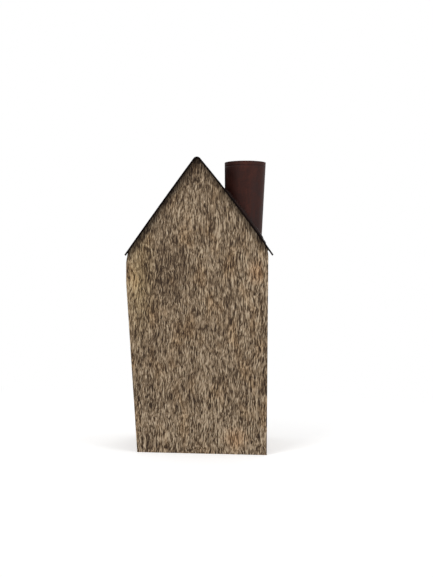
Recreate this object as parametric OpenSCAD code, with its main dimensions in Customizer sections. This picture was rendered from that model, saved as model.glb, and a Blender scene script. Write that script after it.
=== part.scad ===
// Birdhouse of wooden boards with a folded sheet-metal roof and a welded metal chimney.
// Units mm, +Z up, the plain rear wall faces -Y, the entrance faces +Y.

/* [House] */
// width of the body at its foot
base_w = 113.5; // [100:0.5:137]
// depth of the body from front to rear, without the roof overhang
body_d = 120; // [100:1:150]
// height of the ridge before it is rounded
ridge_z = 261.8; // [235:0.1:320]
// thickness of every board
board_t = 12; // [10:0.5:14.5]
// outward lean of the left wall in degrees
lean_l = 5.1; // [0:0.1:6]
// height at which the left wall's outer face turns more upright
ease_z = 148; // [135:1:150]
// outward lean of the left wall's outer face above that height in degrees
ease_lean = 1.4; // [0:0.1:3]
// inward lean of the right wall in degrees
lean_r = 0.9; // [0:0.1:2]
// radius that eases the shoulder of the right wall under the roof
shoulder_r = 15; // [6:0.5:20]

/* [Roof] */
// height of the left eave tip
eave_l = 172.3; // [160:0.1:185]
// height of the right eave tip
eave_r = 175.5; // [160:0.1:185]
// sideways shift of the ridge from the middle of the roof
ridge_shift = -4.1; // [-12:0.1:12]
// outward bow of the left slope
bow_l = 0.35; // [0:0.05:1.5]
// outward bow of the right slope
bow_r = 1.3; // [0:0.05:1.5]
// thickness of the sheet
sheet_t = 1.2; // [1:0.1:2]
// outer radius of the bend along the ridge
bend_r = 3.7; // [2.5:0.1:6]
// roof overhang at the front and at the rear
overhang = 5; // [5:0.5:15]
// how far the sheet's left corners reach past the wall
drip_l = 1.2; // [0.5:0.1:6]
// how far the sheet's right corners reach past the wall
drip_r = 4.3; // [1:0.1:8]

/* [Chimney] */
// outer diameter at the top
chimney_d = 37.2; // [30:0.1:44]
// height of the chimney's top above the ground, at its axis
chimney_z = 259.1; // [240:0.1:330]
// slant of the chimney's top edge in degrees
chimney_cut = 1.4; // [0:0.1:3]
// narrowing of each side towards the roof in degrees
chimney_taper = 1.75; // [0:0.05:2]
// place between the ridge (0) and the right eave (1)
chimney_at = 0.627; // [0.4:0.001:0.65]
// distance of the chimney's axis towards the rear from the middle of the roof
chimney_back = 28; // [0:0.5:32]
// thickness of the chimney's metal
tube_t = 1.2; // [1:0.1:2]
// width of the weld bead round the chimney's foot
weld_w = 3.4; // [2:0.1:4]

/* [Entrance and door] */
// diameter of the entrance hole
entrance_d = 32; // [25:1:40]
// height of the entrance hole's middle
entrance_z = 166; // [158:1:180]
// height of the door's pivot
pivot_z = 128; // [100:1:132]
// running gap round the door
door_gap = 1; // [0.8:0.1:2]
// gap between the closed door and the floor board's edge
stop_gap = 0.3; // [0.2:0.1:0.8]
// length of the turn button's arm from its screw
button_l = 22; // [19:1:30]

/* [Fasteners] */
// diameter of the nails
nail_d = 2; // [1.6:0.1:2.5]
// diameter of the two pivot nails
pivot_d = 3; // [2.5:0.1:4]
// diameter of the dowels in the rear joints
dowel_d = 6; // [4:0.5:7]
// gap all round a nail, dowel or screw in its hole
fit_gap = 0.05; // [0.03:0.01:0.1]

/* [Hidden] */
$fn = 64;

half_d = body_d / 2;
inner_d = half_d - board_t;
run_l = ease_z * tan(lean_l) + (eave_l - ease_z) * tan(ease_lean);
span = base_w + run_l - eave_r * tan(lean_r) + drip_l + drip_r;
foot_l = -span / 2 + drip_l + run_l;
foot_r = foot_l + base_w;
tip_l = [-span / 2, eave_l];
tip_r = [span / 2, eave_r];
ridge = [ridge_shift, ridge_z];
facets = 6;        // flats that make up each bowed slope
floor_z = 6;       // the floor board is raised, so rain drips clear
door_foot = 1.5;
drain_d = 5;
notch_r = 10;
button_w = 9;
button_t = 2.5;
button_z = 40;
nail_l = 28;
roof_nail_l = 18;

// Outer faces of the leaning walls, and the inner faces one board further in
function out_l(z) = foot_l - z * tan(lean_l);
function out_r(z) = foot_r - z * tan(lean_r);
function face_l(z) = z < ease_z ? out_l(z) : out_l(ease_z) - (z - ease_z) * tan(ease_lean);
function in_l(z) = out_l(z) + board_t / cos(lean_l);
function in_r(z) = out_r(z) - board_t / cos(lean_r);

// A point on a slope: side -1 left or 1 right, t from the eave (0) to the ridge (1),
// o above the sheet's top face
function slope(side, t, o) =
    let (tip = side < 0 ? tip_l : tip_r, bow = side < 0 ? bow_l : bow_r,
         d = ridge - tip, n = side * [d.y, -d.x] / norm(d))
    tip + d * t + n * (4 * bow * t * (1 - t) + o);
function unit(v) = v / norm(v);
ul = unit(slope(-1, 0.9, 0) - ridge);
ur = unit(slope(1, 0.9, 0) - ridge);
ridge_half = acos(ul * ur) / 2;
bend_c = ridge + unit(ul + ur) * bend_r / sin(ridge_half);
bend_a = [atan2(-ul.x, ul.y), atan2(ur.x, -ur.y)];
bend_run = bend_r / tan(ridge_half);
function reach(side) = 1 - bend_run / norm(ridge - (side < 0 ? tip_l : tip_r));
function bend(o) = [for (i = [0:6]) let (a = bend_a[0] + (bend_a[1] - bend_a[0]) * i / 6)
    bend_c + (bend_r + o) * [cos(a), sin(a)]];
// The roof's section from the left eave over the ridge to the right eave
function roof_line(o) = concat(
    [for (i = [0:facets - 1]) slope(-1, reach(-1) * i / facets, o)],
    bend(o),
    [for (i = [facets - 1:-1:0]) slope(1, reach(1) * i / facets, o)]);
function flip(v) = [for (i = [len(v) - 1:-1:0]) v[i]];

// Where the right wall's outer face would meet the sheet, and the arc that eases it
sa = slope(1, 0, -sheet_t);
sb = slope(1, reach(1) / facets, -sheet_t);
corner = sa + (sb - sa) * (foot_r - sa.y * tan(lean_r) - sa.x)
    / (sb.x - sa.x + (sb.y - sa.y) * tan(lean_r));
su = unit([foot_r, 0] - corner);
sv = unit(sb - sa);
sh_half = acos(su * sv) / 2;
sh_c = corner + unit(su + sv) * shoulder_r / sin(sh_half);
sh_p = corner + su * shoulder_r / tan(sh_half) - sh_c;
sh_q = corner + sv * shoulder_r / tan(sh_half) - sh_c;
sh_a = [atan2(sh_p.y, sh_p.x), atan2(sh_q.y, sh_q.x)];
la = slope(-1, 0, -sheet_t);
lb = slope(-1, reach(-1) / facets, -sheet_t);
notch_l = la + (lb - la) * (drip_l + 0.4) / (lb.x - la.x);
shoulder = [for (i = [0:4]) let (a = sh_a[0] + (sh_a[1] - sh_a[0]) * i / 4)
    sh_c + shoulder_r * [cos(a), sin(a)]];

// Section drawn in X-Z and run along Y
module prism(points, y0, y1)
    translate([0, y1, 0]) rotate([90, 0, 0]) linear_extrude(y1 - y0) polygon(points);

// Cuts away everything above the underside of the sheet
module under_roof() difference() {
    children();
    prism(concat([slope(-1, -0.1, -sheet_t)], roof_line(-sheet_t),
        [slope(1, -0.1, -sheet_t), [span, 2 * ridge_z], [-span, 2 * ridge_z]]),
        -body_d, body_d);
}

module eased() difference() {
    children();
    turn_l = [face_l(eave_l - 6), eave_l - 6];
    prism([[out_l(ease_z), ease_z], turn_l, turn_l + (notch_l - turn_l) * 1.5,
        [tip_l.x - 5, notch_l.y + 8], [tip_l.x - 5, ease_z]], -body_d, body_d);
    // the arc's two ends run on past the faces that they meet
    first = shoulder[0] + (shoulder[0] - shoulder[1]) / 2;
    last = shoulder[4] + (shoulder[4] - shoulder[3]) / 2;
    prism(concat([first], [for (i = [1:3]) shoulder[i]], [last, last + [3, 4],
        corner + [6, 3], first + [6, 0]]), -body_d, body_d);
}

// A flat-headed nail driven down from the origin, its head standing on the surface
module nail(d, l, head_d, head_h) {
    cylinder(d = head_d, h = head_h);
    translate([0, 0, 2 - l]) cylinder(d = d, h = l - 2);
    translate([0, 0, -l]) cylinder(d1 = 0.4, d2 = d, h = 2);
}
module nail_hole(d, l) translate([0, 0, -l - 0.5]) cylinder(d = d + 2 * fit_gap, h = l + 1.5);

// Places a nail square to a side wall's outer face
module on_wall(side, y, z)
    translate([side < 0 ? face_l(z) : out_r(z), y, z])
        rotate([0, side > 0 ? 90 - lean_r : -90 - (z < ease_z ? lean_l : ease_lean), 0])
            children();
module gable_nail_places() for (side = [-1, 1], z = [pivot_z + 17, pivot_z + 30])
    on_wall(side, half_d - board_t / 2, z) children();
module floor_nail_places() for (side = [-1, 1], y = [-0.45, 0.45])
    on_wall(side, y * half_d, floor_z + board_t / 2) children();

// Places a nail square to one flat of the sheet, over the middle of an end board
module roof_nail_places() {
    line = roof_line(0);
    last = len(line) - 1;
    for (side = [-1, 1], i = [1, 4], y = [-1, 1]) {
        a = side < 0 ? line[i] : line[last - i];
        b = side < 0 ? line[i + 1] : line[last - i - 1];
        n = side * [b.y - a.y, a.x - b.x];
        translate([(a.x + b.x) / 2, y * (half_d - board_t / 2), (a.y + b.y) / 2])
            rotate([0, atan2(n.x, n.y), 0]) children();
    }
}

// Blind dowels that run from the rear wall into the side walls and the floor
module dowel_places() {
    for (z = [45, 135]) {
        translate([(out_l(z) + in_l(z)) / 2, -inner_d, z]) children();
        translate([(out_r(z) + in_r(z)) / 2, -inner_d, z]) children();
    }
    for (side = [-1, 1])
        translate([(foot_l + foot_r) / 2 + side * base_w / 4, -inner_d, floor_z + board_t / 2])
            children();
}
module dowel() translate([0, -board_t / 2, 0]) rotate([-90, 0, 0])
    cylinder(d = dowel_d, h = board_t / 2 + 14);
module dowel_hole() translate([0, -board_t / 2, 0]) rotate([-90, 0, 0])
    cylinder(d = dowel_d + 2 * fit_gap, h = board_t / 2 + 14.5);

// The door turns on two nails that share one axis across the house
pivot_y = half_d - board_t / 2;
pivot_head_r = 3.2;
pivot_head_h = 1.4;
pivot_sink = 2.4;
module pivot_places() {
    translate([out_l(pivot_z) + pivot_sink, pivot_y, pivot_z]) rotate([0, -90, 0]) children();
    translate([out_r(pivot_z) - pivot_sink, pivot_y, pivot_z]) rotate([0, 90, 0]) children();
}
module pivot_hole() {
    nail_hole(pivot_d, nail_l);
    cylinder(r = pivot_head_r + 0.3, h = 10);
}

button_x = (out_r(button_z) + in_r(button_z)) / 2;
module button_place() translate([button_x, half_d, button_z]) rotate([-90, 0, 0]) children();
module button_hole() translate([0, 0, -16.5]) cylinder(d = 3.5 + 2 * fit_gap, h = 18);

module rear_wall() color("#85705a") difference() {
    eased() under_roof() prism([[foot_l, 0], [foot_r, 0], [out_r(ridge_z), ridge_z],
        [out_l(ridge_z), ridge_z]], -half_d, -inner_d);
    dowel_places() dowel_hole();
    roof_nail_places() nail_hole(nail_d, roof_nail_l);
}

module left_wall() color("#7d6852") difference() {
    eased() under_roof() prism([[foot_l, 0], [in_l(0), 0], [in_l(ridge_z), ridge_z],
        [out_l(ridge_z), ridge_z]], -inner_d, half_d);
    dowel_places() dowel_hole();
    gable_nail_places() nail_hole(nail_d, nail_l);
    floor_nail_places() nail_hole(nail_d, nail_l);
    pivot_places() pivot_hole();
    roof_nail_places() nail_hole(nail_d, roof_nail_l);
}

module right_wall() color("#7d6852") difference() {
    eased() under_roof() prism([[in_r(0), 0], [foot_r, 0], [out_r(ridge_z), ridge_z],
        [in_r(ridge_z), ridge_z]], -inner_d, half_d);
    dowel_places() dowel_hole();
    gable_nail_places() nail_hole(nail_d, nail_l);
    floor_nail_places() nail_hole(nail_d, nail_l);
    pivot_places() pivot_hole();
    roof_nail_places() nail_hole(nail_d, roof_nail_l);
    button_place() button_hole();
}

// Upper front board, set between the side walls, with the entrance hole
module front_gable() color("#85705a") difference() {
    gable_z = pivot_z + board_t / 2 + door_gap;
    under_roof() prism([[in_l(gable_z), gable_z], [in_r(gable_z), gable_z],
        [in_r(ridge_z), ridge_z], [in_l(ridge_z), ridge_z]], inner_d, half_d);
    translate([0, 0, entrance_z]) rotate([-90, 0, 0]) cylinder(d = entrance_d, h = body_d);
    gable_nail_places() nail_hole(nail_d, nail_l);
    roof_nail_places() nail_hole(nail_d, roof_nail_l);
}

module floor_board() color("#7a6650") difference() {
    prism([[in_l(floor_z), floor_z], [in_r(floor_z), floor_z],
        [in_r(floor_z + board_t), floor_z + board_t],
        [in_l(floor_z + board_t), floor_z + board_t]], -inner_d, inner_d - stop_gap);
    for (x = [-0.25, 0.25], y = [-0.22, 0.22])
        translate([(foot_l + foot_r) / 2 + x * base_w, y * body_d, 0])
            cylinder(d = drain_d, h = 40);
    dowel_places() dowel_hole();
    floor_nail_places() nail_hole(nail_d, nail_l);
}

// Swings out at its foot; the top edge is round about the pivot
module clean_out_door() color("#8a745c") difference() {
    top = pivot_z + board_t;
    intersection() {
        prism([[in_l(door_foot) + door_gap, door_foot], [in_r(door_foot) - door_gap, door_foot],
            [in_r(top) - door_gap, top], [in_l(top) + door_gap, top]], 0, body_d);
        union() {
            translate([-span, inner_d, 0]) cube([2 * span, board_t, pivot_z]);
            translate([-span, pivot_y, pivot_z]) rotate([0, 90, 0])
                cylinder(d = board_t, h = 2 * span);
        }
    }
    translate([(foot_l + foot_r) / 2, 0, door_foot - 3]) rotate([-90, 0, 0])
        cylinder(r = notch_r, h = body_d);
    pivot_places() nail_hole(pivot_d, nail_l);
}

module roof_sheet() color("#1d1613") difference() {
    prism(concat(roof_line(0), flip(roof_line(-sheet_t))), -half_d - overhang, half_d + overhang);
    // between its corners the sheet ends level with the walls
    prism([[notch_l.x, 0], [notch_l.x, ridge_z], [-span, ridge_z], [-span, 0]],
        -half_d, half_d);
    prism([[foot_r, 0], [out_r(ridge_z), ridge_z], [span, ridge_z], [span, 0]],
        -half_d, half_d);
    roof_nail_places() nail_hole(nail_d, roof_nail_l);
}

// Straight-sided cone about the chimney's axis, e outside its outer face
module chimney_cone(e) {
    low = (eave_r + eave_l) / 2;
    high = chimney_z + chimney_d * tan(chimney_cut);
    r = chimney_d / 2 + e;
    translate([chimney_x, -chimney_back, low]) cylinder(h = high - low,
        r1 = r - (chimney_z - low) * tan(chimney_taper),
        r2 = r + (high - chimney_z) * tan(chimney_taper));
}
chimney_x = ridge.x + chimney_at * (tip_r.x - ridge.x);

module chimney_tube() color("#38221d") difference() {
    chimney_cone(0);
    chimney_cone(-tube_t);
    translate([chimney_x, -span, chimney_z]) rotate([0, -chimney_cut, 0])
        translate([-span, 0, 0]) cube([2 * span, 2 * span, span]);
    prism(concat(roof_line(0), [[span, 0], [-span, 0]]), -half_d, half_d);
}

module chimney_weld() color("#241a17") difference() {
    for (i = [1, 2]) intersection() {
        chimney_cone(weld_w / i);
        prism(concat(roof_line(0), flip(roof_line(weld_w * (i == 1 ? 0.5 : 0.9)))),
            -half_d, half_d);
    }
    chimney_cone(0);
}

module pivot_nails() color("#9a9a98")
    pivot_places() nail(pivot_d, nail_l, 2 * pivot_head_r, pivot_head_h);

module turn_button() color("#a08a4c") difference() {
    translate([button_x, half_d + 0.3, button_z]) {
        for (z = [0, button_w / 2 - button_l]) translate([0, 0, z]) rotate([-90, 0, 0])
            cylinder(d = button_w, h = button_t);
        translate([-button_w / 2, 0, button_w / 2 - button_l])
            cube([button_w, button_t, button_l - button_w / 2]);
    }
    button_place() translate([0, 0, -1]) cylinder(d = 3.5 + 2 * fit_gap, h = 10);
}

module button_screw() color("#b0a070") button_place() difference() {
    union() {
        translate([0, 0, -16]) cylinder(d1 = 0.8, d2 = 3.5, h = 4);
        translate([0, 0, -12]) cylinder(d = 3.5, h = 16);
        translate([0, 0, button_t + 0.4]) cylinder(d = 7.4, h = 0.9);
        translate([0, 0, button_t + 1.3]) cylinder(d1 = 7.4, d2 = 5, h = 0.8);
    }
    translate([-5, -0.5, button_t + 1.3]) cube([10, 1, 2]);
}

module rear_dowels() color("#b89b72") dowel_places() dowel();
module gable_nails() color("#8c8c8a") gable_nail_places() nail(nail_d, nail_l, 4.4, 0.8);
module floor_nails() color("#8c8c8a") floor_nail_places() nail(nail_d, nail_l, 4.4, 0.8);
module roof_nails() color("#2a211e") roof_nail_places() nail(nail_d, roof_nail_l, 6, 0.6);

rear_wall();
left_wall();
right_wall();
front_gable();
floor_board();
clean_out_door();
roof_sheet();
chimney_tube();
chimney_weld();
pivot_nails();
turn_button();
button_screw();
rear_dowels();
gable_nails();
floor_nails();
roof_nails();
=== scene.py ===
"""Wooden birdhouse with a folded metal roof and a welded chimney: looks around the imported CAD."""
import math
import bpy
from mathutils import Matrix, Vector
from mathutils.bvhtree import BVHTree


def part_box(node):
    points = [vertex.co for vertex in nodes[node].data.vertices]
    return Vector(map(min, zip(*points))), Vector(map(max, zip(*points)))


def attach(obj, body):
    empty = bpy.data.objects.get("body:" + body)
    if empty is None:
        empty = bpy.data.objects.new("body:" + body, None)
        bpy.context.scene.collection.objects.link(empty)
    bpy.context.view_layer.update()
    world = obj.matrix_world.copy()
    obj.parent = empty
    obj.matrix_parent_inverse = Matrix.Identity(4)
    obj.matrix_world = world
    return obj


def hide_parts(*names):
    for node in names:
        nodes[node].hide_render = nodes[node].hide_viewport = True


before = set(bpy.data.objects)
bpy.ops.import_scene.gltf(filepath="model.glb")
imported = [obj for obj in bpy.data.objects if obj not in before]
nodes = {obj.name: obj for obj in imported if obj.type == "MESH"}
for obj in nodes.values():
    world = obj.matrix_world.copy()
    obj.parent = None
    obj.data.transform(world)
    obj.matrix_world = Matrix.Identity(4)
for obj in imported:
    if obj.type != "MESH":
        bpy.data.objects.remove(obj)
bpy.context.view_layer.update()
scene = bpy.context.scene

# noise cells per metre: across the board twice, then along the grain
PORES = (1150, 1150, 115)
LONG_PORES = (860, 860, 75)
HAIRS = (1900, 1900, 230)
STREAKS = (150, 150, 9)
PATCHES = (45, 45, 20)
WARM_PATCHES = (70, 70, 34)

# broad light and dark figure on the rear board, in metres: x, z, reach in x and z, strength; the
# darkest entry, on the tip under the ridge, is painted shade
FIGURE_AND_APEX_SHADE = (
    (-0.030, 0.160, 0.030, 0.050, -0.16), (0.006, 0.197, 0.014, 0.030, -0.10),
    (-0.057, 0.140, 0.014, 0.060, 0.08), (0.010, 0.073, 0.014, 0.035, 0.15),
    (0.027, 0.152, 0.012, 0.020, 0.10), (-0.036, 0.048, 0.030, 0.012, -0.06),
    (0.036, 0.014, 0.016, 0.014, 0.13), (-0.005, 0.205, 0.008, 0.024, 0.10),
    # the second entry on the line below darkens the board's tip under the ridge: painted shade
    (-0.010, 0.022, 0.050, 0.026, 0.08), (-0.004, 0.246, 0.016, 0.022, -0.20),
    (0.050, 0.120, 0.012, 0.050, -0.05))

RIDGE_X = -0.0041           # the ridge stands left of the middle
CHIMNEY_CUT = 1.4           # degrees that the chimney's top slants
LIP = 0.0045                # the rolled lip's depth
AIM = Vector((0, 0, 0.13))  # what the lamps point at
FLOOR_REACH = 6             # half the floor's width, in metres


def srgb(r, g, b):
    """A colour given as 0..255 sRGB, as linear RGBA."""
    f = lambda v: v / 12.92 if v <= 0.04045 else ((v + 0.055) / 1.055) ** 2.4
    return (f(r / 255), f(g / 255), f(b / 255), 1)


# ---------------------------------------------------------------- node helper
class Net:
    """A short way to write a node tree: sockets and plain numbers mix freely."""

    def __init__(self, tree):
        self.t = tree
        tree.nodes.clear()

    def put(self, kind, ins=None, **props):
        n = self.t.nodes.new(kind)
        for k, v in props.items():
            setattr(n, k, v)
        for k, v in (ins or {}).items():
            if isinstance(v, bpy.types.NodeSocket):
                self.t.links.new(v, n.inputs[k])
            else:
                n.inputs[k].default_value = v
        return n

    def math(self, op, a, b=0.0, c=0.0):
        return self.put("ShaderNodeMath", {0: a, 1: b, 2: c}, operation=op).outputs[0]

    def vmath(self, op, a, b=(0, 0, 0)):
        n = self.put("ShaderNodeVectorMath", {0: a, 1: b}, operation=op)
        return n.outputs["Value"] if op in ("LENGTH", "DOT_PRODUCT") else n.outputs[0]

    def where(self, scale=(1, 1, 1), shift=(0, 0, 0), turn=(0, 0, 0)):
        """Object coordinates in metres, moved, turned and scaled."""
        if not hasattr(self, "obj"):
            self.obj = self.put("ShaderNodeTexCoord").outputs["Object"]
        return self.put("ShaderNodeMapping", {0: self.obj, 1: shift, 2: turn, 3: scale}).outputs[0]

    def noise(self, vec, scale=1.0, detail=2.0, rough=0.5, bend=0.0, color=False):
        n = self.put("ShaderNodeTexNoise", {"Vector": vec, "Scale": scale, "Detail": detail,
                                            "Roughness": rough, "Distortion": bend})
        return n.outputs["Color" if color else 0]

    def step(self, v, lo, hi, a=0.0, b=1.0):
        """Smooth run from a to b as v goes from lo to hi."""
        return self.put("ShaderNodeMapRange", {0: v, 1: lo, 2: hi, 3: a, 4: b},
                        interpolation_type="SMOOTHSTEP").outputs[0]

    def ramp(self, v, stops):
        n = self.put("ShaderNodeValToRGB", {0: v})
        while len(n.color_ramp.elements) < len(stops):
            n.color_ramp.elements.new(0.5)
        for e, (p, c) in zip(n.color_ramp.elements, stops):
            e.position = p
            e.color = c
        return n.outputs[0]

    def mix(self, f, a, b, mode="MIX"):
        n = self.put("ShaderNodeMix", data_type="RGBA", blend_type=mode)
        for k, v in ((0, f), (6, a), (7, b)):
            if isinstance(v, bpy.types.NodeSocket):
                self.t.links.new(v, n.inputs[k])
            else:
                n.inputs[k].default_value = v
        return n.outputs[2]

    def spot(self, x, z, rx, rz):
        """A soft round mask about (x, z) metres, 1 in its middle and 0 at its rim."""
        p = self.where((1 / rx, 0, 1 / rz), (-x / rx, 0, -z / rz))
        return self.step(self.vmath("LENGTH", p), 1.0, 0.0)


def material(name):
    mat = bpy.data.materials.new(name)
    mat.use_nodes = True
    return mat, Net(mat.node_tree)


def close(mat, net, color, rough, height=None, bump=0.3, depth=0.0003, **sockets):
    """Ends a material: shader with its constant sockets, bump and output."""
    ins = {"Base Color": color, "Roughness": rough}
    ins.update({k.replace("_", " "): v for k, v in sockets.items()})
    if height is not None:
        ins["Normal"] = net.put("ShaderNodeBump", {"Strength": bump, "Distance": depth,
                                                   "Height": height}).outputs[0]
    bsdf = net.put("ShaderNodeBsdfPrincipled", ins)
    net.put("ShaderNodeOutputMaterial", {0: bsdf.outputs[0]})
    return mat


# ---------------------------------------------------------------- materials
def wood(name, grain="Z", seed=0.0, tint=(1, 1, 1), face=False, gain=1.0, roof_shadow=()):
    """Open-grained board: short dark pores, streaks along the grain and broad patches.

    face adds the rear board's own figure, with painted shade on its tip under the ridge, and the
    painted shadow below the roof edges given in the last argument.
    """
    mat, n = material(name)
    turn = {"Z": (0, 0, 0), "X": (0, math.radians(90), 0), "Y": (math.radians(90), 0, 0)}[grain]
    p = n.where((1, 1, 1), (seed, seed * 0.7, seed * 1.3), turn)
    x, _, z = n.put("ShaderNodeSeparateXYZ", {0: n.where()}).outputs
    calm = n.step(x, -0.02, 0.03) if face else 0.5      # the left half is more curly
    wave = n.vmath("SUBTRACT", n.noise(p, 30, 2, 0.5, color=True), (0.5, 0.5, 0.5))
    curl = n.vmath("SUBTRACT", n.noise(p, 210, 2, 0.6, color=True), (0.5, 0.5, 0.5))
    q = n.vmath("ADD", p, n.vmath("MULTIPLY", wave, (0.007, 0.007, 0.010)))
    swing = n.math("MULTIPLY_ADD", calm, -0.0010, 0.0019)
    bend = n.put("ShaderNodeCombineXYZ", {0: swing, 1: 0.0008, 2: 0.0016}).outputs[0]
    q = n.vmath("ADD", q, n.vmath("MULTIPLY", curl, bend))
    pores = n.noise(n.vmath("MULTIPLY", q, PORES), 1, 2, 0.6)
    long = n.noise(n.vmath("MULTIPLY", q, LONG_PORES), 1, 2, 0.55)
    hair = n.noise(n.vmath("MULTIPLY", q, HAIRS), 1, 1, 0.5)
    streak = n.noise(n.vmath("MULTIPLY", q, STREAKS), 1, 3, 0.55)
    broad = n.noise(n.vmath("MULTIPLY", q, PATCHES), 1, 2, 0.5)
    low = n.step(z, 0.075, 0.035) if face else 0.0      # the grain dives at the foot: finer dots
    v = 0.45
    for layer, amount in ((pores, 2.3), (long, n.math("MULTIPLY", calm, 1.25)),
                          (hair, n.math("MULTIPLY_ADD", low, 0.6, 1.6)), (streak, 0.42), (broad, 0.28)):
        v = n.math("MULTIPLY_ADD", n.math("SUBTRACT", layer, 0.5), amount, v)
    if face:
        for sx, sz, rx, rz, amount in FIGURE_AND_APEX_SHADE:
            v = n.math("MULTIPLY_ADD", n.spot(sx, sz, rx, rz), amount, v)
    k = lambda *rgb: srgb(*(min(255, c * t * gain) for c, t in zip(rgb, tint)))
    color = n.ramp(v, [(0.10, k(46, 34, 24)), (0.32, k(86, 69, 52)), (0.52, k(124, 105, 83)),
                       (0.74, k(154, 135, 111)), (0.96, k(182, 164, 140))])
    warm = n.noise(n.vmath("MULTIPLY", q, WARM_PATCHES), 1, 2, 0.5)
    color = n.mix(n.step(warm, 0.48, 0.70, 0, 0.8), color,
                  n.mix(1, color, (1.07, 0.97, 0.84, 1), "MULTIPLY"))
    if face:
        olive = n.spot(-0.052, 0.150, 0.020, 0.075)
        rust = n.math("MAXIMUM", n.spot(0.050, 0.160, 0.010, 0.016), n.spot(0.036, 0.014, 0.016, 0.014))
        casts = ((olive, 0.8, (1.03, 1.0, 0.80, 1)), (rust, 0.9, (1.14, 0.95, 0.80, 1)))
        for area_mask, amount, cast in casts:
            shifted = n.mix(1, color, cast, "MULTIPLY")
            color = n.mix(n.math("MULTIPLY", area_mask, amount), color, shifted)
        # painted shadow of the roof's overhang on the board below its two edges, wider on the left
        for normal, foot, reach, amount in roof_shadow:
            d = n.math("SUBTRACT", n.vmath("DOT_PRODUCT", n.where(), normal), foot)
            d = n.math("MULTIPLY_ADD", n.math("SUBTRACT", pores, 0.5), 0.003, d)
            overhang_shade = n.step(d, -reach, -0.0002, 0, amount)
            color = n.mix(overhang_shade, color, srgb(26, 17, 14))
    return close(mat, n, color, n.step(pores, 0.3, 0.7, 0.85, 0.7), v, 0.4, 0.0004,
                 Specular_IOR_Level=0.2)


def metal(name, dark, light, rough, scale, specular, seed=0.0):
    """A metal surface with cloudy variation and fine pits."""
    mat, n = material(name)
    p = n.where((1, 1, 1), (seed, seed, seed))
    cloud = n.noise(p, scale, 4, 0.6, 0.4)
    pit = n.noise(p, scale * 14, 3, 0.6)
    v = n.math("MULTIPLY_ADD", n.math("SUBTRACT", pit, 0.5), 0.5, cloud)
    color = n.ramp(v, [(0.3, dark), (0.7, light)])
    return close(mat, n, color, n.step(cloud, 0.3, 0.7, rough - 0.08, rough + 0.1), v, 0.3, 0.0003,
                 Specular_IOR_Level=specular)


def painted_roof_shadow():
    """Each roof slope's normal and distance, with the reach and strength of the painted shadow below
    it.
    """
    (left, _, low), (right, _, high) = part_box("roof_sheet")
    slopes = []
    for tip_x, reach, amount in ((left, 0.0075, 0.72), (right, 0.0032, 0.40)):
        d = Vector((tip_x - RIDGE_X, 0, low - high)).normalized()
        normal = Vector((-d.z * (1 if tip_x > 0 else -1), 0, abs(d.x)))
        slopes.append((tuple(normal), normal.dot(Vector((tip_x, 0, low))) + 0.0005, reach, amount))
    return slopes


rear_wood = wood("rear_wood", face=True, roof_shadow=painted_roof_shadow())
# a darker copy of the wood for the rear board's rounded edges: painted shade
edge_shade_wood = wood("edge_shade_wood", seed=0.11, gain=0.62)
side_wood = wood("side_wood", seed=0.31, tint=(0.97, 0.96, 0.95))
gable_wood = wood("gable_wood", seed=0.62, tint=(1.0, 0.98, 0.95))
door_wood = wood("door_wood", seed=0.93, tint=(1.03, 1.0, 0.97))
floor_wood = wood("floor_wood", grain="X", seed=1.24, tint=(0.9, 0.9, 0.9))
dowel_wood = wood("dowel_wood", grain="Y", seed=1.55, tint=(1.4, 1.35, 1.25))
roof_metal = metal("roof_metal", srgb(7, 4, 4), srgb(22, 14, 12), 0.7, 45, 0.03)


def tube_finish():
    """Red-brown baked paint with vertical rub marks, and a rolled lip at the top drawn as a bump groove
    that is darkened as painted shade.
    """
    mat, n = material("chimney_metal")
    p = n.where()
    cloud = n.noise(p, 55, 4, 0.6, 0.5)
    brush = n.noise(n.vmath("MULTIPLY", p, (420, 420, 60)), 1, 3, 0.6)
    pit = n.noise(p, 900, 2, 0.6)
    v = n.math("MULTIPLY_ADD", n.math("SUBTRACT", brush, 0.5), 0.45, cloud)
    v = n.math("MULTIPLY_ADD", n.math("SUBTRACT", pit, 0.5), 0.4, v)
    color = n.ramp(v, [(0.28, srgb(33, 12, 8)), (0.52, srgb(47, 20, 14)), (0.78, srgb(66, 32, 24))])
    x, _, z = n.put("ShaderNodeSeparateXYZ", {0: p}).outputs
    lip = n.math("SUBTRACT", z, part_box("chimney_tube")[1][2] - LIP)
    lip = n.math("MULTIPLY_ADD", x, -math.tan(math.radians(CHIMNEY_CUT)), lip)
    lip_groove_and_shade = n.math("MULTIPLY", n.step(lip, -0.0018, -0.0008), n.step(lip, 0.0002, -0.0006))
    # the groove band is darkened by half to a deep red-brown: painted shade under the lip
    color = n.mix(n.math("MULTIPLY", lip_groove_and_shade, 0.5), color, srgb(28, 13, 11))
    height = n.math("MULTIPLY_ADD", lip_groove_and_shade, -1.2, v)
    return close(mat, n, color, n.step(v, 0.3, 0.7, 0.5, 0.66), height, 0.4, 0.0003,
                 Specular_IOR_Level=0.16)


chimney_metal = tube_finish()
weld_metal = metal("weld_metal", srgb(16, 6, 5), srgb(42, 21, 16), 0.5, 120, 0.12, 0.8)
nail_steel = metal("nail_steel", srgb(120, 118, 114), srgb(165, 163, 158), 0.4, 300, 0.5, 1.2)
roof_nail_steel = metal("roof_nail_steel", srgb(22, 16, 14), srgb(48, 38, 34), 0.5, 200, 0.3, 1.6)
brass = metal("button_brass", srgb(120, 92, 42), srgb(168, 136, 74), 0.4, 160, 0.5, 2.0)
for bare in (brass, nail_steel):
    bare.node_tree.nodes["Principled BSDF"].inputs["Metallic"].default_value = 1.0


def ease(name, width, rim=None, segments=2):
    """Rounds a CAD piece's sharp edges, with a second material on the rounding if asked."""
    obj = nodes[name]
    weld = obj.modifiers.new("weld", "WELD")
    weld.merge_threshold = 1e-6
    bevel = obj.modifiers.new("ease", "BEVEL")
    bevel.width = width
    bevel.segments = segments
    bevel.angle_limit = math.radians(35)
    bevel.use_clamp_overlap = True
    if rim:
        obj.data.materials.append(rim)
        bevel.material = len(obj.data.materials) - 1


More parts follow.
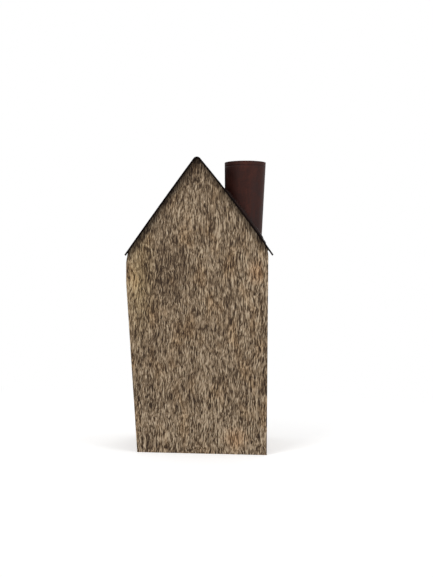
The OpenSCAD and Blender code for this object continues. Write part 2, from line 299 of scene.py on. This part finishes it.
dress = {"rear_wall": rear_wood, "left_wall": side_wood, "right_wall": side_wood,
         "front_gable": gable_wood, "floor_board": floor_wood, "clean_out_door": door_wood,
         "roof_sheet": roof_metal, "chimney_tube": chimney_metal, "chimney_weld": weld_metal,
         "pivot_nails": nail_steel, "turn_button": brass, "button_screw": brass,
         "rear_dowels": dowel_wood, "gable_nails": nail_steel, "floor_nails": nail_steel,
         "roof_nails": roof_nail_steel}
for name, mat in dress.items():
    for slot in nodes[name].material_slots:
        slot.material = mat

# the rear board's rounded edges take the darker wood: painted shade
ease("rear_wall", 0.0009, edge_shade_wood, 3)
for name in ("left_wall", "right_wall", "front_gable", "clean_out_door", "floor_board"):
    ease(name, 0.0006)
ease("turn_button", 0.0005)

# ---------------------------------------------------------------- weld bead
def solid_tree(name):
    mesh = nodes[name].data
    return BVHTree.FromPolygons([v.co for v in mesh.vertices], [p.vertices for p in mesh.polygons])


def bead_rings(around=324, sides=12, ripples=27):
    """Rings of points that follow the line where the tube meets the roof, as stacked ripples."""
    roof, tube = solid_tree("roof_sheet"), solid_tree("chimney_tube")
    lo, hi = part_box("chimney_tube")
    axis = Vector(((lo[0] + hi[0]) / 2, (lo[1] + hi[1]) / 2, 0))
    sky, down = Vector((0, 0, 1)), Vector((0, 0, -1))
    points = []
    for i in range(around):
        a = 2 * math.pi * i / around
        out = Vector((math.cos(a), math.sin(a), 0))
        r = 0.018           # a first guess, which four rounds draw to the tube's wall
        for _ in range(4):
            z = roof.ray_cast(axis + out * r + sky, down)[0].z
            hit = tube.ray_cast(axis + out * 0.05 + Vector((0, 0, z + 0.0005)), -out)[0]
            if hit:
                r = (hit - Vector((0, 0, hit.z)) - axis).length
        normal = roof.ray_cast(axis + out * r + sky, down)[1]
        mid = axis + out * r + Vector((0, 0, z))
        ripple = abs(math.sin(ripples * a + 0.9 * math.sin(3 * a))) ** 0.7
        uneven = 0.86 + 0.24 * ripple + 0.12 * math.sin(7 * a + 1) + 0.08 * math.sin(17 * a)
        size = (0.0021 - 0.0006 * math.cos(a)) * uneven     # thinner at the low foot
        side = (out + normal * 0.25).normalized()
        up = (normal - side * normal.dot(side)).normalized()
        for j in range(sides):
            b = 2 * math.pi * j / sides
            across = side * (0.0008 + size * 1.05 * math.cos(b))
            points.append(mid + across + up * (0.0007 + size * 1.15 * math.sin(b)))
    skin = []
    for i in range(around):
        for j in range(sides):
            k, m = (i + 1) % around, (j + 1) % sides
            skin.append((i * sides + j, k * sides + j, k * sides + m, i * sides + m))
    return points, skin


verts, faces = bead_rings()
mesh = bpy.data.meshes.new("weld_bead")
mesh.from_pydata(verts, [], faces)
mesh.materials.append(weld_metal)
for poly in mesh.polygons:
    poly.use_smooth = True
bead = bpy.data.objects.new("weld_bead", mesh)
scene.collection.objects.link(bead)
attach(bead, "house")
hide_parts("chimney_weld")

# ---------------------------------------------------------------- camera, light, floor
cam = bpy.data.objects.new("camera", bpy.data.cameras.new("camera"))
scene.collection.objects.link(cam)
cam.data.lens = 68.4
cam.data.sensor_width = 36
cam.data.clip_start = 0.05
cam.location = (0.0160, -1.020, 0.1449)
cam.rotation_euler = (math.radians(90), math.radians(-1.365), 0)
scene.camera = cam


def area(name, loc, size, power):
    lamp = bpy.data.lights.new(name, "AREA")
    lamp.shape = "DISK"
    lamp.size = size
    lamp.energy = power
    obj = bpy.data.objects.new(name, lamp)
    obj.location = loc
    obj.rotation_euler = (AIM - Vector(loc)).to_track_quat("-Z", "Y").to_euler()
    scene.collection.objects.link(obj)


area("key", (-0.9, -1.5, 1.3), 0.9, 16)
area("fill", (1.3, -1.1, 0.7), 1.0, 9)
area("back", (0.3, 1.6, 1.1), 1.0, 9)


def seen_ray(n):
    """1 where the camera, a reflection or a refraction looks, else 0."""
    ray = n.put("ShaderNodeLightPath").outputs
    v = n.math("MAXIMUM", ray["Is Camera Ray"], ray["Is Glossy Ray"])
    return n.math("MAXIMUM", v, ray["Is Transmission Ray"])


world = bpy.data.worlds.new("studio")
scene.world = world
world.use_nodes = True
n = Net(world.node_tree)
plain = n.put("ShaderNodeBackground", {0: (1, 1, 1, 1), 1: 0.55})
white = n.put("ShaderNodeBackground", {0: (1, 1, 1, 1), 1: 1.0})
both = n.put("ShaderNodeMixShader", {0: seen_ray(n), 1: plain.outputs[0], 2: white.outputs[0]})
n.put("ShaderNodeOutputWorld", {0: both.outputs[0]})

ground = bpy.data.meshes.new("ground")
corners = [(x * FLOOR_REACH, y * FLOOR_REACH, 0) for x, y in ((-1, -1), (1, -1), (1, 1), (-1, 1))]
ground.from_pydata(corners, [], [(0, 1, 2, 3)])
ground = bpy.data.objects.new("ground", ground)
scene.collection.objects.link(ground)
mat, n = material("pale_floor")
# pale and lit near the house, fading to plain white further out for the rays that are seen
diffuse = n.put("ShaderNodeBsdfDiffuse", {0: (0.86, 0.86, 0.86, 1)})
glow = n.put("ShaderNodeEmission", {0: (1, 1, 1, 1), 1: n.math("MULTIPLY", seen_ray(n), 0.34)})
near = n.put("ShaderNodeAddShader", {0: diffuse.outputs[0], 1: glow.outputs[0]})
far = n.put("ShaderNodeEmission", {0: (1, 1, 1, 1), 1: 1.0})
run = n.step(n.vmath("LENGTH", n.where()), 0.25, 0.55)
share = n.math("MULTIPLY", run, seen_ray(n))
total = n.put("ShaderNodeMixShader", {0: share, 1: near.outputs[0], 2: far.outputs[0]})
n.put("ShaderNodeOutputMaterial", {0: total.outputs[0]})
ground.data.materials.append(mat)

scene.view_settings.view_transform = "Standard"
